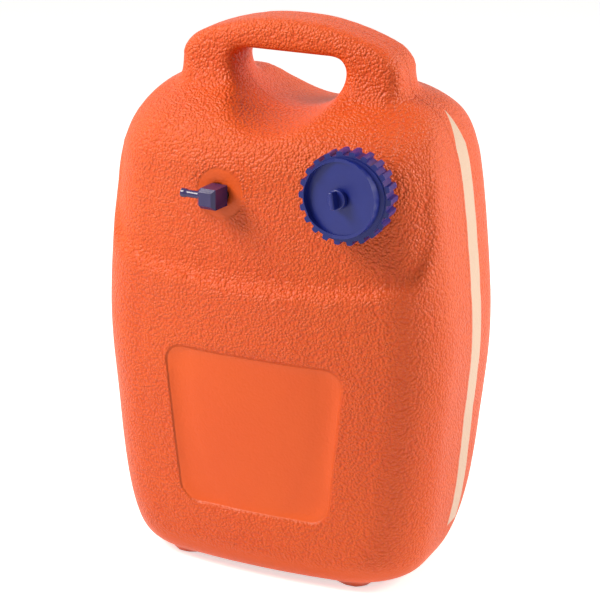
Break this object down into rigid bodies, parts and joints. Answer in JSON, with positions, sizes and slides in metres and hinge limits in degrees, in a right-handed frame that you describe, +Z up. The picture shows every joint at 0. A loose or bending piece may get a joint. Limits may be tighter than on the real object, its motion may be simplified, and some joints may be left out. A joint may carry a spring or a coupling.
{
  "type": "portable fuel tank",
  "caption": "Upright blow-moulded fuel tank with a carrying handle, a level strip, a toothed screw cap with a vent screw and a hose outlet.",
  "frame": {"origin": "under the middle of the whole tank, on the plane that the feet stand on", "axes": "+Z up to the handle, -Y out of the front with the cap and outlet, +X towards the level strip"},
  "size_m": [0.3339, 0.2312, 0.5],
  "materials": {
    "body_plastic": "satin, pebble grain",
    "strip_plastic": "satin, natural",
    "cap_plastic": "satin",
    "fitting_plastic": "glossy",
    "seal_rubber": "matte",
    "inner_plastic": "natural",
    "mesh_steel": "woven"
  },
  "bodies": {
    "tank": {"tank_body": "body_plastic", "level_strip": "strip_plastic", "outlet_elbow": "fitting_plastic", "outlet_washer": "seal_rubber", "outlet_nut": "inner_plastic", "dip_tube": "inner_plastic", "strainer_cage": "inner_plastic", "strainer_mesh": "mesh_steel"},
    "cap_carrier": {"cap_gasket": "seal_rubber"},
    "cap": {"filler_cap": "cap_plastic", "vent_seal": "seal_rubber"},
    "vent": {"vent_screw": "cap_plastic"}
  },
  "joints": [
    {"name": "cap_lift", "type": "slide", "parent": "tank", "child": "cap_carrier", "axis": [0.1216, -0.9901, 0.0698], "range_m": [0, 0.0126]},
    {"name": "cap_turn", "type": "hinge", "parent": "cap_carrier", "child": "cap", "pos_m": [0.09, -0.0763, 0.374], "axis": [0.1216, -0.9901, 0.0698], "range_deg": [0, 900]},
    {"name": "vent_turn", "type": "hinge", "parent": "cap", "child": "vent", "pos_m": [0.08907, -0.10154, 0.37574], "axis": [-0.1222, -0.9902, 0.0677], "range_deg": [0, 720]}
  ],
  "couplings": [
    {"joint": "cap_lift", "follows": "cap_turn", "m_per_rad": 0.00079577}
  ]
}
